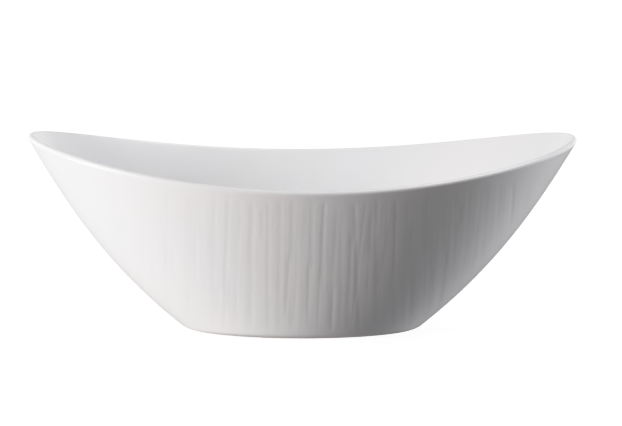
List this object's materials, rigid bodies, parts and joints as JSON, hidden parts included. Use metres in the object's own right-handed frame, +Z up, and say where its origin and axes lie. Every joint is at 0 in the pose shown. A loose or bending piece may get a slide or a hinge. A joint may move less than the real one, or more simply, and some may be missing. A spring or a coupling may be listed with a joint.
{
  "type": "oval serving bowl",
  "caption": "Oval porcelain serving bowl with flared, fluted sides, a rim that dips along each side and rises to two end tips, and a low foot ring.",
  "frame": {"origin": "centre of the foot, on the surface that the bowl stands on", "axes": "+X along the length, towards one end tip; +Y across the width; +Z up, out of the bowl's mouth"},
  "size_m": [0.34, 0.195, 0.1213],
  "materials": {
    "glazed_porcelain": "clear satin-gloss glaze over fine white porcelain, with shallow hand-drawn vertical lines in the outside of the wall",
    "bare_porcelain": "unglazed white porcelain, wiped clean of glaze and sanded smooth where the bowl stands"
  },
  "bodies": {
    "root": {"bowl": "glazed_porcelain", "foot_ring": "bare_porcelain"}
  },
  "joints": []
}
